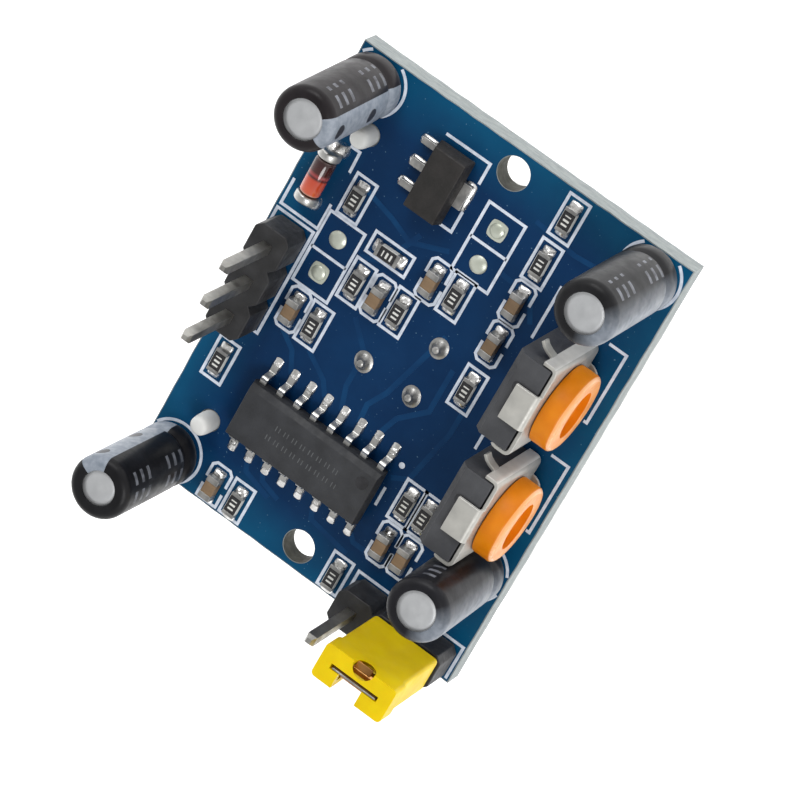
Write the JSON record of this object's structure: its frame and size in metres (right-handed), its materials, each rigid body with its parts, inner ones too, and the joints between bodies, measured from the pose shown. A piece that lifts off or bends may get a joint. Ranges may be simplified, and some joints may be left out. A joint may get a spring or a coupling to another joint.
{
  "type": "passive infrared motion sensor module",
  "caption": "Small circuit board with a domed infrared lens clipped on the back, two screw-slot trimmers, upright capacitors, a pulled-on jumper and an output pin header.",
  "frame": {"origin": "middle of the board's component face, at the midpoint between the two screw holes to within 0.2 mm", "axes": "+X along the board towards the mode jumper, +Y towards the two trimmers, +Z out of the component face; the lens faces -Z"},
  "size_m": [0.0316, 0.0244, 0.0259],
  "materials": {
    "solder_mask": "deep blue solder mask over glass fibre board, pale raw edge",
    "lens_plastic": "translucent milky polyethylene",
    "nickel_can": "drawn nickel-plated steel",
    "silicon_window": "dark coated silicon filter",
    "gold_header": "gold-plated header",
    "sensor_ceramic": "sintered ceramic",
    "tinned_metal": "tin-plated metal",
    "header_plastic": "moulded black plastic",
    "shunt_plastic": "moulded yellow plastic",
    "brass_contact": "spring brass strip",
    "aluminium_can": "drawn aluminium",
    "sleeve_film": "shrunk dark film",
    "moulded_epoxy": "moulded epoxy, fine matt grain",
    "diode_glass": "clear glass tinted by the dark red inside",
    "trimmer_base": "moulded phenolic",
    "rotor_plastic": "moulded orange plastic",
    "resistor_body": "black glaze",
    "ceramic_body": "tan ceramic"
  },
  "bodies": {
    "board": {"capacitor_1_can": "aluminium_can", "capacitor_1_sleeve": "sleeve_film", "capacitor_2_can": "aluminium_can", "capacitor_2_sleeve": "sleeve_film", "capacitor_3_can": "aluminium_can", "capacitor_3_sleeve": "sleeve_film", "capacitor_4_can": "aluminium_can", "capacitor_4_sleeve": "sleeve_film", "ceramic_1": "ceramic_body", "ceramic_2": "ceramic_body", "ceramic_3": "ceramic_body", "ceramic_4": "ceramic_body", "ceramic_5": "ceramic_body", "ceramic_6": "ceramic_body", "ceramic_7": "ceramic_body", "ceramic_8": "ceramic_body", "diode_end_1": "tinned_metal", "diode_end_2": "tinned_metal", "diode_glass": "diode_glass", "integrated_circuit": "moulded_epoxy", "jumper_housing": "header_plastic", "jumper_pin_1": "tinned_metal", "jumper_pin_2": "tinned_metal", "jumper_pin_3": "tinned_metal", "output_housing": "header_plastic", "output_pin_1": "tinned_metal", "output_pin_2": "tinned_metal", "output_pin_3": "tinned_metal", "pcb": "solder_mask", "pir_can": "nickel_can", "pir_element": "sensor_ceramic", "pir_header": "gold_header", "pir_lead_1": "tinned_metal", "pir_lead_2": "tinned_metal", "pir_lead_3": "tinned_metal", "pir_window": "silicon_window", "regulator": "moulded_epoxy", "resistor_01": "resistor_body", "resistor_02": "resistor_body", "resistor_03": "resistor_body", "resistor_04": "resistor_body", "resistor_05": "resistor_body", "resistor_06": "resistor_body", "resistor_07": "resistor_body", "resistor_08": "resistor_body", "resistor_09": "resistor_body", "resistor_10": "resistor_body", "resistor_11": "resistor_body", "resistor_12": "resistor_body", "resistor_13": "resistor_body", "resistor_14": "resistor_body", "trimmer_1_base": "trimmer_base", "trimmer_1_frame": "tinned_metal", "trimmer_2_base": "trimmer_base", "trimmer_2_frame": "tinned_metal"},
    "lens": {"lens_dome": "lens_plastic"},
    "shunt": {"shunt_housing": "shunt_plastic", "shunt_contact": "brass_contact"},
    "trimmer_1_knob": {"trimmer_1_rotor": "rotor_plastic"},
    "trimmer_2_knob": {"trimmer_2_rotor": "rotor_plastic"}
  },
  "joints": [
    {"name": "trimmer_1_turn", "type": "hinge", "parent": "board", "child": "trimmer_1_knob", "pos_m": [-0.0053, 0.0096, 0.0034], "axis": [0, 1, 0], "range_deg": [-105, 105]},
    {"name": "trimmer_2_turn", "type": "hinge", "parent": "board", "child": "trimmer_2_knob", "pos_m": [0.00265, 0.01005, 0.0034], "axis": [0, 1, 0], "range_deg": [-105, 105]},
    {"name": "shunt_pull", "type": "slide", "parent": "board", "child": "shunt", "axis": [0, 0, 1], "range_m": [0, 0.0065]},
    {"name": "lens_pull", "type": "slide", "parent": "board", "child": "lens", "axis": [0, 0, -1], "range_m": [0, 0.008]}
  ]
}
